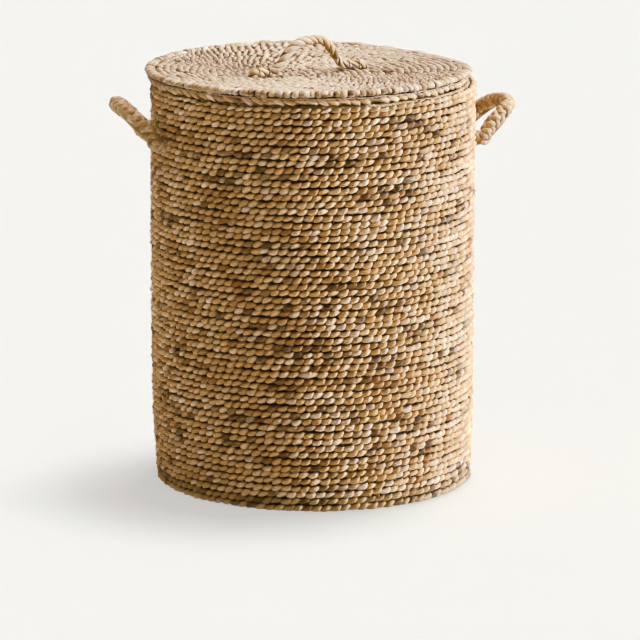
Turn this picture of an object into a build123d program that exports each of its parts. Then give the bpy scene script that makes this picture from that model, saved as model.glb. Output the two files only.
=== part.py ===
from build123d import *
import os
from math import cos, pi, radians, sin, sqrt

# Round twined hamper with a loose lid, two rope side handles and a rope lid handle.
# Millimetres, +Z up. The origin is on the floor, at the centre of the base. The side
# handles stand at -X (left) and +X (right), and -Y is the front.

os.makedirs("parts", exist_ok=True)

# ---------------------------------------------------------------- driving dimensions
ROW = 8.7                      # height of one twined course
WALL_ROWS = 60                 # courses from the floor to the top of the wall
WALL_R = 210.0                 # outside radius of the wall
BASE_R = 205.0                 # outside radius of the lowest course
TAPER_ROWS = 10                # courses over which the wall widens from the base
CORE_R = 197.5                 # radius of the ring of stakes inside the wall
CORE_GAP = 5.4                 # room for stakes and wires between the two weave faces
INNER_R = 187.8                # inside radius of the wall
STAKES_PER_UPRIGHT = 13        # positions round the ring from one upright to the next

WIRE_D = 5.0                   # frame wire
MIDDLE_WIRE_D = 4.0            # middle hoop wire
UPRIGHTS = 8
STAKE_D = 4.2                  # upright cords that the wefts twist round
SPOKE_D = 4.0                  # cords of the base and the lid
SPOKES = 24                    # positions round the base and the lid
SPOKE_START = 30.0             # radius where the spokes begin

BASE_ROWS = 2                  # courses in the base edge
BASE_FACE = 5.0                # thickness of each face of the base disc
BASE_LIFT = 1.5                # the disc stands this far off the floor
BASE_ROUND = 5.0               # rounding of the lowest outside edge
FOOT_IN = 2.0                  # the lowest edge stands in from BASE_R by this much
TAPER_STEP = 0.5               # widening over the second course of the base edge

LID_SHIFT = -5.0               # the loose lid sits this far towards the left handle
LID_R = 212.5                  # outside radius of the upper rim course
LID_LOWER_R = 208.0            # outside radius of the lower rim course
LID_INNER_R = 197.5            # where the discs end and the rim courses begin
LID_HOOP_R = 203.0
LID_HUB_R = 9.0                # plate where the lid's four wires are welded together
WELD_GAP = 0.3                 # room left at the lid's welds, which stands for the bead
LID_CLEAR = 0.5                # gap from the wall's top to the lid
LID_CREST = 541.5              # top of the upper rim course
LID_DISH = 11.0                # how far the middle of the lid sinks below the crest
LID_UNDER = 4.5                # thickness of the lid's under face
SEAM_D = 2.0                   # thread between the two rim courses
LOCATOR_R = 181.5              # outside radius of the ring that drops inside the wall
LOCATOR_THICK = 9.0
LOCATOR_DEPTH = 14.0           # the ring reaches this far below the wall's top

GRIP_D = 19.0                  # wrapped rope of the side handles
GRIP_CORE_D = 12.0             # rope inside the wrap
GRIP_ANGLE = 13.0              # each end enters the wall this many degrees off the X axis
GRIP_OUT = 41.5                # reach of the loop's middle line beyond its hinge line
GRIPS = {                      # side, height of the ends, tilt of the loop above level
    "left": (-1, 452.0, 48.0),
    "right": (1, 446.0, 43.0),
}
JOINT_GAP = 0.4                # between the loop's round ends and the run behind the wall

PULL_D = 11.4                  # twisted rope of the lid handle
PULL_TURN = 16.0               # the handle's line is turned this far on the lid
PULL_HALF = 49.0               # from the lid's centre to each foot of the arch
PULL_TAIL = 33.0               # length of each tail that lies flat
PULL_RISE = 37.0               # height of the arch's middle line above its feet
PULL_SHOULDER = (0.56, 0.86)   # shoulder of the arch, as shares of PULL_HALF and PULL_RISE
PULL_CROWN = 0.16              # half width of the arch's top, as a share of PULL_HALF
PULL_BENDS = [14, 22, 24, 24, 22, 14]    # bend radii from one foot of the arch to the other
PULL_LIFT = 0.3                # the tails lie this far above the lid
STITCH_D = 1.8
STITCH_PLACES = (0.3, 0.75)    # the stitches' places along a tail, as shares of its length

SLIP = 0.2                     # play between soft faces that lie against each other
CORD_GAP = 0.5                 # from a cord's cut end to the wire or course beyond it
CUT_OVER = 1.0                 # a cutting shape runs this far past the face that it opens
SEAM_SINK = 0.6                # how far the seam thread sinks between the rim courses
COURSE_ROUND = ROW * 0.4       # rounding of a rim course's edges

# ---------------------------------------------------------------- derived sizes
WALL_TOP = ROW * WALL_ROWS
BASE_TOP = ROW * BASE_ROWS
RIM_BOTTOM = WALL_TOP - ROW
TAPER_TOP = ROW * TAPER_ROWS
GAP_IN = CORE_R - CORE_GAP / 2
GAP_OUT = CORE_R + CORE_GAP / 2
STAKE_POSITIONS = UPRIGHTS * STAKES_PER_UPRIGHT

BASE_WIRE_Z = BASE_LIFT + BASE_FACE + CORE_GAP / 2
TOP_WIRE_Z = WALL_TOP - ROW / 2
MIDDLE_WIRE_Z = WALL_TOP / 2
MIDDLE_WIRE_R = CORE_R - WIRE_D / 2 - MIDDLE_WIRE_D / 2

LID_BOTTOM = WALL_TOP + LID_CLEAR
LID_WIRE_Z = LID_BOTTOM + ROW
LID_CORE_SINK = 10.5           # the wires and spokes sink this far at the middle

HINGE_R = sqrt((WALL_R + GRIP_D / 2 + JOINT_GAP) ** 2 - (WALL_R * sin(radians(GRIP_ANGLE))) ** 2)
HINGE_HALF = WALL_R * sin(radians(GRIP_ANGLE))
RUN_R = INNER_R - GRIP_D / 2 - SLIP


# ---------------------------------------------------------------- helpers
def spun(section):
    """Turn a section drawn in the XZ plane once round the Z axis."""
    return revolve(section, Axis.Z, 360)


def ring(r_in, r_out, z_low, z_high, rounding):
    """Ring with a rounded rectangular section."""
    middle = Pos((r_in + r_out) / 2, (z_low + z_high) / 2)
    return spun(Plane.XZ * middle * RectangleRounded(r_out - r_in, z_high - z_low, rounding))


def sharp_ring(r_in, r_out, z_low, z_high):
    """Ring with a square-edged section."""
    middle = Pos((r_in + r_out) / 2, (z_low + z_high) / 2)
    return spun(Plane.XZ * middle * Rectangle(r_out - r_in, z_high - z_low))


def hoop(radius, height, diameter):
    """Closed ring of round wire."""
    return Pos(0, 0, height) * Torus(radius, diameter / 2)


def rope(path, diameter):
    """Round rope along a path of lines and arcs."""
    return sweep(Plane(origin=path @ 0, z_dir=path % 0) * Circle(diameter / 2), path=path)


def spread(shape, angles):
    """Copies of a shape turned about the Z axis."""
    return [Rot(0, 0, angle) * shape for angle in angles]


def save(name, solids, finish):
    """Write one node, a single solid or a group of separate solids."""
    group = solids if isinstance(solids, list) else [solids]
    pieces = [solid for shape in group for solid in shape.solids()]
    node = pieces[0] if len(pieces) == 1 else Compound(children=pieces)
    node.label = name
    export_step(node, f"parts/{name}.step")
    print(f"{name:26s} {finish:8s} solids {len(pieces):3d}")


# ---------------------------------------------------------------- wire frame of the wall
def make_frame():
    """Hoops, uprights and crossed base wires of the welded frame."""
    top = hoop(CORE_R, TOP_WIRE_Z, WIRE_D)
    base = hoop(CORE_R, BASE_WIRE_Z, WIRE_D)
    middle = hoop(MIDDLE_WIRE_R, MIDDLE_WIRE_Z, MIDDLE_WIRE_D)
    height = TOP_WIRE_Z - BASE_WIRE_Z
    upright = Pos(CORE_R, 0, BASE_WIRE_Z + height / 2) * Cylinder(WIRE_D / 2, height)
    upright = upright - top - base
    uprights = spread(upright, [(i + 0.5) * 360 / UPRIGHTS for i in range(UPRIGHTS)])
    bar = Pos(0, 0, BASE_WIRE_Z) * Rot(0, 90, 0) * Cylinder(WIRE_D / 2, 2 * CORE_R)
    cross = (bar + Rot(0, 0, 90) * bar) - base
    return top, middle, base, uprights, cross


# ---------------------------------------------------------------- side handles
def grip_ends(side, height):
    """Centres of the round ends of the loop, just outside the wall."""
    return [Vector(side * HINGE_R, y, height) for y in (-HINGE_HALF, HINGE_HALF)]


def grip_loop(side, height, tilt, diameter):
    """Outer loop: two short legs and a half circle, tilted up from its hinge line."""
    along = Vector(0, 1, 0)
    outward = Vector(side * cos(radians(tilt)), 0, sin(radians(tilt)))
    plane = Plane(origin=(side * HINGE_R, 0, height), x_dir=along, z_dir=along.cross(outward))
    leg = GRIP_OUT / cos(radians(tilt)) - HINGE_HALF
    corners = [(-HINGE_HALF, leg), (0, leg + HINGE_HALF), (HINGE_HALF, leg)]
    path = Wire([
        Line((-HINGE_HALF, 0), corners[0]).edge(),
        ThreePointArc(*corners).edge(),
        Line(corners[2], (HINGE_HALF, 0)).edge(),
    ])
    return rope(plane * path, diameter)


def grip_wrap(side, height, tilt):
    """Wrap round the loop, closed over both ends, hollow for the core rope."""
    body = grip_loop(side, height, tilt, GRIP_D)
    for end in grip_ends(side, height):
        body += Pos(*end) * Sphere(GRIP_D / 2)
    return body - grip_loop(side, height, tilt, GRIP_CORE_D + SLIP / 2)


def grip_run(side, height):
    """Rope through both holes of the wall and along its inside, flush with the wall."""
    centre = 0 if side > 0 else 180
    turns = [radians(centre + offset) for offset in (-GRIP_ANGLE, 0, GRIP_ANGLE)]
    low, middle, high = [(RUN_R * cos(a), RUN_R * sin(a), height) for a in turns]
    body = rope(ThreePointArc(low, middle, high), GRIP_D)
    for inside in (low, high):
        start = Vector(*inside)
        outward = Vector(start.X, start.Y, 0).normalized()
        body += rope(Line(start, start + outward * 2 * GRIP_D), GRIP_D)
        body += Pos(*start) * Sphere(GRIP_D / 2)
    return body & Pos(0, 0, height) * Cylinder(WALL_R, 2 * GRIP_D)


# ---------------------------------------------------------------- wall
def make_wall(runs, middle_hoop):
    """Stakes, both weave faces and the border course, with holes for the handles."""
    stake_low = BASE_WIRE_Z + WIRE_D / 2 + CORD_GAP
    stake_high = TOP_WIRE_Z - WIRE_D / 2 - CORD_GAP
    stake = Pos(CORE_R, 0, (stake_low + stake_high) / 2)
    stake = stake * Cylinder(STAKE_D / 2, stake_high - stake_low)
    step = 360 / STAKE_POSITIONS
    first = 180 / UPRIGHTS
    places = [i for i in range(STAKE_POSITIONS) if i % STAKES_PER_UPRIGHT]
    stakes = spread(stake, [first + i * step for i in places])
    for run in runs:
        stakes = [cut for cord in stakes for cut in (cord - run).solids()]

    outer_line = [
        (GAP_OUT, BASE_TOP),
        (BASE_R + TAPER_STEP, BASE_TOP),
        (WALL_R, TAPER_TOP),
        (WALL_R, RIM_BOTTOM),
        (GAP_OUT, RIM_BOTTOM),
    ]
    outer = spun(Plane.XZ * make_face(Polyline(*outer_line, close=True)))
    inner = sharp_ring(INNER_R, GAP_IN, BASE_TOP, RIM_BOTTOM) - middle_hoop
    for run in runs:
        outer -= run
        inner -= run
    groove = sharp_ring(GAP_IN, GAP_OUT, RIM_BOTTOM - CUT_OVER, TOP_WIRE_Z + CORE_GAP / 2)
    rim = ring(INNER_R, WALL_R, RIM_BOTTOM, WALL_TOP, COURSE_ROUND) - groove
    return stakes, outer, inner, rim


# ---------------------------------------------------------------- base
def make_base(cross):
    """Base edge course, spokes and the two faces of the base disc."""
    outline = Polyline(
        (INNER_R, 0),
        (BASE_R - FOOT_IN, 0),
        (BASE_R, ROW),
        (BASE_R + TAPER_STEP, BASE_TOP),
        (INNER_R, BASE_TOP),
        close=True,
    )
    section = make_face(outline)
    corner = section.vertices().sort_by(Axis.Y)[:2].sort_by(Axis.X)[-1]
    section = fillet(corner, BASE_ROUND)
    channel = sharp_ring(GAP_IN, GAP_OUT, BASE_WIRE_Z - CORE_GAP / 2, BASE_TOP + CUT_OVER)
    edge = spun(Plane.XZ * section) - channel - cross
    disc_r = INNER_R - SLIP
    low = BASE_LIFT
    lower = Pos(0, 0, low + BASE_FACE / 2) * Cylinder(disc_r, BASE_FACE)
    top_low = low + BASE_FACE + CORE_GAP
    upper = Pos(0, 0, top_low + BASE_FACE / 2) * Cylinder(disc_r, BASE_FACE)
    length = disc_r - SPOKE_START
    spoke = Pos(SPOKE_START + length / 2, 0, BASE_WIRE_Z) * Rot(0, 90, 0)
    spoke = spoke * Cylinder(SPOKE_D / 2, length)
    quarter = SPOKES // 4
    spokes = spread(spoke, [i * 360 / SPOKES for i in range(SPOKES) if i % quarter])
    return edge, lower, upper, spokes


# ---------------------------------------------------------------- lid
def dished(radius, height, sink):
    """Height of a dished surface at a radius, where height is taken at the hoop."""
    return height - sink * (1 - (radius / LID_HOOP_R) ** 2)


def dished_arc(r_low, r_high, height, sink):
    """Arc in the XZ plane along a dished surface."""
    middle = (r_low + r_high) / 2
    points = [(r, 0, dished(r, height, sink)) for r in (r_low, middle, r_high)]
    return ThreePointArc(*points)


def dished_disc(radius, top, top_sink, bottom, bottom_sink):
    """Solid disc between two dished surfaces."""
    top_points = [(r, dished(r, top, top_sink)) for r in (0, radius / 2, radius)]
    low_points = [(r, dished(r, bottom, bottom_sink)) for r in (0, radius / 2, radius)]
    outline = Wire([
        ThreePointArc(*top_points).edge(),
        Line(top_points[2], low_points[2]).edge(),
        ThreePointArc(*low_points).edge(),
        Line(low_points[0], top_points[0]).edge(),
    ])
    return spun(Plane.XZ * make_face(outline))


def lid_handle_path():
    """Middle line of the rope: a tail, an arch and a tail, in one upright plane."""
    lift = PULL_D / 2 + PULL_LIFT
    foot_z = dished(PULL_HALF, LID_CREST, LID_DISH) + lift
    tail_x = PULL_HALF + PULL_TAIL
    tail_z = dished(tail_x, LID_CREST, LID_DISH) + lift
    shoulder_x = PULL_HALF * PULL_SHOULDER[0]
    shoulder_z = foot_z + PULL_RISE * PULL_SHOULDER[1]
    top_z = foot_z + PULL_RISE
    half = [
        (tail_x, 0, tail_z),
        (PULL_HALF, 0, foot_z),
        (shoulder_x, 0, shoulder_z),
        (PULL_HALF * PULL_CROWN, 0, top_z),
    ]
    points = [(-x, y, z) for x, y, z in half] + half[::-1]
    return Rot(0, 0, PULL_TURN) * FilletPolyline(*points, radius=PULL_BENDS)


def make_lid_handle():
    """Rope of the lid handle and the stitches that tie its tails down."""
    path = lid_handle_path()
    cord = rope(path, PULL_D)
    for end in (path @ 0, path @ 1):
        cord += Pos(*end) * Sphere(PULL_D / 2)
    stitches = []
    for side in (-1, 1):
        for share in STITCH_PLACES:
            x = PULL_HALF + PULL_TAIL * share
            z = dished(x, LID_CREST, LID_DISH) + PULL_D / 2 + PULL_LIFT
            radius = PULL_D / 2 + STITCH_D / 2 + SLIP / 2
            loop = Rot(0, 90, 0) * Torus(radius, STITCH_D / 2)
            stitches.append(Rot(0, 0, PULL_TURN) * Pos(side * x, 0, z) * loop)
    return cord, stitches


def make_lid():
    """Every piece of the lid, built about the Z axis and then set off centre."""
    wire = hoop(LID_HOOP_R, LID_WIRE_Z, WIRE_D)
    hub = Pos(0, 0, dished(0, LID_WIRE_Z, LID_CORE_SINK)) * Cylinder(LID_HUB_R, WIRE_D)
    arm_end = LID_HOOP_R - WIRE_D / 2 - WELD_GAP
    arm = rope(dished_arc(LID_HUB_R + WELD_GAP, arm_end, LID_WIRE_Z, LID_CORE_SINK), WIRE_D)
    quarters = [0, 90, 180, 270]
    cross = [hub] + spread(arm, quarters)
    slot_z = dished(arm_end, LID_WIRE_Z, LID_CORE_SINK)
    slot = Pos(LID_INNER_R, 0, slot_z) * Rot(0, 90, 0) * Cylinder(WIRE_D / 2 + WELD_GAP, 2 * WIRE_D)
    spoke = rope(dished_arc(SPOKE_START, LID_INNER_R - CORD_GAP, LID_WIRE_Z, LID_CORE_SINK), SPOKE_D)
    quarter = SPOKES // 4
    spokes = spread(spoke, [i * 360 / SPOKES for i in range(SPOKES) if i % quarter])

    half_gap = CORE_GAP / 2
    rope_handle, stitches = make_lid_handle()
    top = dished_disc(
        LID_INNER_R, LID_CREST, LID_DISH, LID_WIRE_Z + half_gap, LID_CORE_SINK
    )
    for loop in stitches:
        top -= loop
    under = dished_disc(
        LID_INNER_R,
        LID_WIRE_Z - half_gap,
        LID_CORE_SINK,
        LID_WIRE_Z - half_gap - LID_UNDER,
        LID_CORE_SINK,
    )
    upper = ring(LID_INNER_R, LID_R, LID_WIRE_Z, LID_CREST, COURSE_ROUND) - wire
    lower = ring(LID_INNER_R, LID_LOWER_R, LID_BOTTOM, LID_WIRE_Z, COURSE_ROUND) - wire
    for cut in spread(slot, quarters):
        upper -= cut
        lower -= cut
    seam_r = LID_LOWER_R + SEAM_D / 2 - SEAM_SINK
    seam = hoop(seam_r, LID_WIRE_Z, SEAM_D)
    upper -= seam
    lower -= seam
    locator_low = WALL_TOP - LOCATOR_DEPTH
    locator = sharp_ring(LOCATOR_R - LOCATOR_THICK, LOCATOR_R, locator_low, LID_WIRE_Z)
    locator -= dished_disc(
        LID_INNER_R,
        LID_CREST + LID_DISH,
        LID_CORE_SINK,
        LID_WIRE_Z - half_gap - LID_UNDER,
        LID_CORE_SINK,
    )
    pieces = {
        "lid_wire_hoop": ([wire], "iron"),
        "lid_cross_wires": (cross, "iron"),
        "lid_spokes": (spokes, "stake"),
        "lid_top_weave": ([top], "weave"),
        "lid_under_weave": ([under], "weave"),
        "lid_upper_rim_course": ([upper], "weave"),
        "lid_lower_rim_course": ([lower], "weave"),
        "lid_seam_thread": ([seam], "thread"),
        "lid_locating_ring": ([locator], "weave"),
        "lid_handle_rope": ([rope_handle], "rope"),
        "lid_handle_stitches": (stitches, "thread"),
    }
    place = Pos(LID_SHIFT, 0, 0)
    return {name: ([place * s for s in solids], kind) for name, (solids, kind) in pieces.items()}


# ---------------------------------------------------------------- build and write
top_hoop, middle_hoop, base_hoop, uprights, base_cross = make_frame()
runs = {name: grip_run(side, height) for name, (side, height, tilt) in GRIPS.items()}
stakes, outer_face, inner_face, wall_rim = make_wall(list(runs.values()), middle_hoop)
base_edge, base_lower, base_upper, base_spokes = make_base(base_cross)

save("frame_top_hoop", top_hoop, "iron")
save("frame_middle_hoop", middle_hoop, "iron")
save("frame_base_hoop", base_hoop, "iron")
save("frame_uprights", uprights, "iron")
save("frame_base_cross", base_cross, "iron")
save("wall_stakes", stakes, "stake")
save("wall_outer_weave", outer_face, "weave")
save("wall_inner_weave", inner_face, "weave")
save("wall_rim_course", wall_rim, "weave")
save("base_edge_course", base_edge, "weave")
save("base_lower_weave", base_lower, "weave")
save("base_upper_weave", base_upper, "weave")
save("base_spokes", base_spokes, "stake")
for name, (side, height, tilt) in GRIPS.items():
    save(f"{name}_handle_inner_run", runs[name], "rope")
    save(f"{name}_handle_core", grip_loop(side, height, tilt, GRIP_CORE_D), "rope")
    save(f"{name}_handle_wrap", grip_wrap(side, height, tilt), "rope")
for name, (solids, kind) in make_lid().items():
    save(name, solids, kind)
print(f"handle hinge lines {HINGE_R:.2f} mm from the axis, ends {2 * HINGE_HALF:.2f} mm apart")
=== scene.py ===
"""Round twined hamper with a loose lid: the visible pieces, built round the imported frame.

Every length is in metres. The origin is on the floor at the centre of the base, +Z is up, -Y is
the front, and the side handles stand at -X (left) and +X (right).
"""
import logging
from dataclasses import dataclass, field, replace
from enum import Enum
from math import ceil, cos, pi, radians, sin

import bmesh
import bpy
import numpy as np
from bpy.types import Material, Mesh, Node, NodeSocket, NodeTree, Object
from mathutils import Matrix


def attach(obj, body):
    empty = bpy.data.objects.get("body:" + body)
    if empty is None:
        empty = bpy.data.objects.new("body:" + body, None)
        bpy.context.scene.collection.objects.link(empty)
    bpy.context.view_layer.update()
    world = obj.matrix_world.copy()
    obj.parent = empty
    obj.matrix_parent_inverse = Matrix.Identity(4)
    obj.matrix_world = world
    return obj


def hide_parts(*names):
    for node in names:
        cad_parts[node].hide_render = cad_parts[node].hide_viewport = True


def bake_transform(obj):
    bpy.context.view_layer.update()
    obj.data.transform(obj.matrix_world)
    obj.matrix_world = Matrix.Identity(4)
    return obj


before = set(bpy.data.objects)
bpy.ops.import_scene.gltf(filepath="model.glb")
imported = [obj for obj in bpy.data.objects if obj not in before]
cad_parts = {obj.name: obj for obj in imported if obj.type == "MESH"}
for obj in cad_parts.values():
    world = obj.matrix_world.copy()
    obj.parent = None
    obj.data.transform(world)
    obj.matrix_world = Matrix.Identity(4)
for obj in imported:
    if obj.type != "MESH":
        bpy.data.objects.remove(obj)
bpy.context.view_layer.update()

MM = 0.001
FLOOR_GAP = 0.2 * MM
SEAM_GAP = 0.004 * MM
LOG = logging.getLogger("hamper")
STRAND_UV = "strand"
BEAN_DYE = "bean_dye"
BEAN_DEPTH = "bean_depth"
UV_SHIFT = (3.7, 1.31)
RING_POINTS = 720
Colour = tuple[float, float, float, float]
Point = tuple[float, float, float]


class Slot(Enum):
    """Material slots of the record."""

    WALL = "wall_weave"
    RIM = "rim_weave"
    BASE = "base_weave"
    LID = "lid_weave"
    HANDLE = "handle_rope"
    LID_ROPE = "lid_rope"
    THREAD = "seam_thread"


class Aim(Enum):
    """What a light falls on."""

    ALL = "all"
    OBJECT = "object"
    FLOOR = "floor"


class Body(Enum):
    """Bodies that the pieces ride on."""

    BASKET = "basket"
    LID = "lid"
    LEFT = "left_handle"
    RIGHT = "right_handle"


# ------------------------------------------------------------------ node helpers
class Sketch:
    """Short way to add and join the nodes of one tree."""

    def __init__(self, tree: NodeTree) -> None:
        """Keep the tree that the nodes go into."""
        self.tree = tree

    def add(self, kind: str, values: dict | None = None, **settings: object) -> Node:
        """Add one node.

        Args:
            kind: the node's type name.
            values: input values or sockets to join, by input name or place.
            **settings: the node's own properties.

        Returns:
            The new node.
        """
        node = self.tree.nodes.new(kind)
        for key, value in settings.items():
            setattr(node, key, value)
        for key, value in (values or {}).items():
            self.put(value, node.inputs[key])
        return node

    def put(self, value: object, entry: NodeSocket) -> None:
        """Join a socket to an input, or set the input to a plain value.

        Args:
            value: a socket, or a plain value.
            entry: the input.
        """
        if isinstance(value, NodeSocket):
            self.tree.links.new(value, entry)
        else:
            entry.default_value = value

    def maths(self, operation: str, first: object, second: object = 0.0) -> NodeSocket:
        """Join two values by one operation and return the result's socket."""
        node = self.add("ShaderNodeMath", {0: first, 1: second}, operation=operation)
        return node.outputs[0]

    def span(self, value: object, low: float, high: float, to_low: float = 0.0,
             to_high: float = 1.0) -> NodeSocket:
        """Map a value smoothly from one range to another and return the result's socket.

        Args:
            value: the value.
            low: where the range starts.
            high: where it ends.
            to_low: what its start turns into.
            to_high: what its end turns into.

        Returns:
            The result's socket.
        """
        inputs = {"Value": value, 1: low, 2: high, 3: to_low, 4: to_high}
        node = self.add("ShaderNodeMapRange", inputs, interpolation_type="SMOOTHSTEP")
        return node.outputs["Result"]

    def mix(self, share: object, first: object, second: object) -> NodeSocket:
        """Mix two colours and return the result's socket.

        Args:
            share: how much of the second colour shows.
            first: one colour.
            second: the other colour.

        Returns:
            The result's socket.
        """
        node = self.add("ShaderNodeMix", {0: share}, data_type="RGBA")
        self.put(first, node.inputs[6])
        self.put(second, node.inputs[7])
        return node.outputs[2]

    def noise(self, place: NodeSocket, scale: float, detail: float,
              roughness: float = 0.5) -> NodeSocket:
        """Add a noise over some coordinates and return its value's socket."""
        inputs = {"Vector": place, "Scale": scale, "Detail": detail, "Roughness": roughness}
        return self.add("ShaderNodeTexNoise", inputs).outputs["Fac"]

    def bump(self, strength: float, distance: float, height: NodeSocket) -> NodeSocket:
        """Turn a height into a normal and return its socket."""
        inputs = {"Strength": strength, "Distance": distance, "Height": height}
        return self.add("ShaderNodeBump", inputs).outputs[0]


def colour(red: float, green: float, blue: float) -> Colour:
    """Turn an sRGB colour of 0 to 255 into the linear one that the nodes use.

    Args:
        red: red, 0 to 255.
        green: green, 0 to 255.
        blue: blue, 0 to 255.

    Returns:
        The linear colour, with full alpha.
    """
    parts = [part / 255 for part in (red, green, blue)]
    linear = [p / 12.92 if p <= 0.04045 else ((p + 0.055) / 1.055) ** 2.4 for p in parts]
    return (*linear, 1.0)


class FibreGroup:
    """Shared node group: the streaks of a flattened plant stalk, along the strand."""

    NAME = "stalk_fibres"
    INPUTS = (("Along", 2.6), ("Across", 30.0), ("Strength", 0.5))
    OUTPUTS = ("Streak", "Blotch", "Height")
    BLOTCH_ALONG = 0.7
    BLOTCH_ACROSS = 0.22
    BLOTCH_PLANE = 7.3

    @classmethod
    def tree(cls) -> NodeTree:
        """Build the group once and return it.

        Returns:
            The group.
        """
        found = bpy.data.node_groups.get(cls.NAME)
        if found:
            return found
        tree = bpy.data.node_groups.new(cls.NAME, "ShaderNodeTree")
        for name, value in cls.INPUTS:
            socket = tree.interface.new_socket(name, in_out="INPUT", socket_type="NodeSocketFloat")
            socket.default_value = value
        for name in cls.OUTPUTS:
            tree.interface.new_socket(name, in_out="OUTPUT", socket_type="NodeSocketFloat")
        s = Sketch(tree)
        entry = s.add("NodeGroupInput")
        leave = s.add("NodeGroupOutput")
        uv = s.add("ShaderNodeUVMap", uv_map=STRAND_UV)
        split = s.add("ShaderNodeSeparateXYZ", {0: uv.outputs[0]})
        along = s.maths("MULTIPLY", split.outputs[0], entry.outputs["Along"])
        across = s.maths("MULTIPLY", split.outputs[1], entry.outputs["Across"])
        place = s.add("ShaderNodeCombineXYZ", {0: along, 1: across})
        fine = s.noise(place.outputs[0], scale=1.0, detail=4.0, roughness=0.6)
        wide = s.maths("MULTIPLY", across, cls.BLOTCH_ACROSS)
        slow = s.maths("MULTIPLY", along, cls.BLOTCH_ALONG)
        second = s.add("ShaderNodeCombineXYZ", {0: slow, 1: wide, 2: cls.BLOTCH_PLANE})
        coarse = s.noise(second.outputs[0], scale=1.0, detail=2.0)
        streak = s.span(fine, 0.32, 0.68)
        blotch = s.span(coarse, 0.3, 0.7)
        height = s.maths("MULTIPLY", streak, entry.outputs["Strength"])
        ridge = s.maths("ADD", height, s.maths("MULTIPLY", blotch, 0.5))
        for name, socket in zip(cls.OUTPUTS, (streak, blotch, ridge)):
            tree.links.new(socket, leave.inputs[name])
        return tree


# ------------------------------------------------------------------ finishes
@dataclass(frozen=True)
class Finish:
    """A procedural material, whose kinds say what goes into the shader."""

    name: str

    def inputs(self, s: Sketch) -> dict[str, object]:
        """Lay out the nodes and return what goes into each input of the shader."""
        raise NotImplementedError

    def build(self) -> Material:
        """Make the material and return it.

        Returns:
            The material.
        """
        material = bpy.data.materials.new(self.name)
        material.use_nodes = True
        s = Sketch(material.node_tree)
        shader = material.node_tree.nodes["Principled BSDF"]
        for name, value in self.inputs(s).items():
            s.put(value, shader.inputs[name])
        return material


@dataclass(frozen=True)
class StalkFinish(Finish):
    """Dried plant stalk, its colour changing from bean to bean along the strand, with painted shade
    between strands.
    """

    pale: Colour
    middle: Colour
    deep: Colour
    stain: Colour = colour(82, 50, 17)
    blush: Colour = colour(216, 188, 160)
    # Painted shade: the deepest points between strands are mixed towards this dark colour, by up to
    # this strength, over this range of depths.
    crevice_shade: Colour = colour(58, 34, 13)
    crevice_shade_strength: float = 0.92
    crevice_shade_depth: tuple[float, float] = (0.28, 0.85)
    streaks: float = 0.36
    dull: float = 0.74
    glossy: float = 0.54
    bump: float = 0.6

    def inputs(self, s: Sketch) -> dict[str, object]:
        """Colour each bean by its dye, and paint shade over the deep parts between strands.

        Args:
            s: the tree's sketch.

        Returns:
            What goes into the shader.
        """
        dye = s.add("ShaderNodeAttribute", attribute_name=BEAN_DYE)
        parts = s.add("ShaderNodeSeparateColor", {0: dye.outputs["Color"]})
        depth = s.add("ShaderNodeAttribute", attribute_name=BEAN_DEPTH)
        fibres = s.add("ShaderNodeGroup", node_tree=FibreGroup.tree())
        tone = parts.outputs[0]
        low = s.mix(s.span(tone, 0.0, 0.5), self.deep, self.middle)
        base = s.mix(s.span(tone, 0.45, 1.0), low, self.pale)
        blushed = s.mix(parts.outputs[2], base, self.blush)
        lines = s.span(fibres.outputs["Streak"], 0.0, 1.0, self.streaks, 0.0)
        streaked = s.mix(lines, blushed, self.deep)
        marked = s.mix(s.span(fibres.outputs["Blotch"], 0.55, 1.0, 0.0, 0.22), streaked, self.pale)
        patchy = s.span(fibres.outputs["Blotch"], 0.1, 0.8, 0.62, 1.0)
        stained = s.mix(s.maths("MULTIPLY", parts.outputs[1], patchy), marked, self.stain)
        # Painted shade: points that lie deep between strands darken towards the dark colour.
        hollow_shade = s.span(depth.outputs["Fac"], *self.crevice_shade_depth, 0.0, self.crevice_shade_strength)
        return {"Base Color": s.mix(hollow_shade, stained, self.crevice_shade),
                "Roughness": s.span(fibres.outputs["Streak"], 0.0, 1.0, self.dull, self.glossy),
                "Normal": s.bump(self.bump, 0.4 * MM, fibres.outputs["Height"]),
                "Specular IOR Level": 0.4, "Sheen Weight": 0.07, "Sheen Roughness": 0.5}


@dataclass(frozen=True)
class WireFinish(Finish):
    """Painted iron wire with a slightly uneven coat."""

    paint: Colour = colour(54, 40, 27)
    worn: Colour = colour(92, 66, 42)

    def inputs(self, s: Sketch) -> dict[str, object]:
        """Mottle the paint and let it wear through in places.

        Args:
            s: the tree's sketch.

        Returns:
            What goes into the shader.
        """
        place = s.add("ShaderNodeTexCoord").outputs["Object"]
        coat = s.noise(place, scale=420.0, detail=4.0)
        wear = s.noise(place, scale=60.0, detail=6.0)
        return {"Base Color": s.mix(s.span(wear, 0.56, 0.72), self.paint, self.worn),
                "Roughness": s.span(coat, 0.3, 0.7, 0.6, 0.78),
                "Normal": s.bump(0.3, 0.1 * MM, coat),
                "Specular IOR Level": 0.08}


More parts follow.
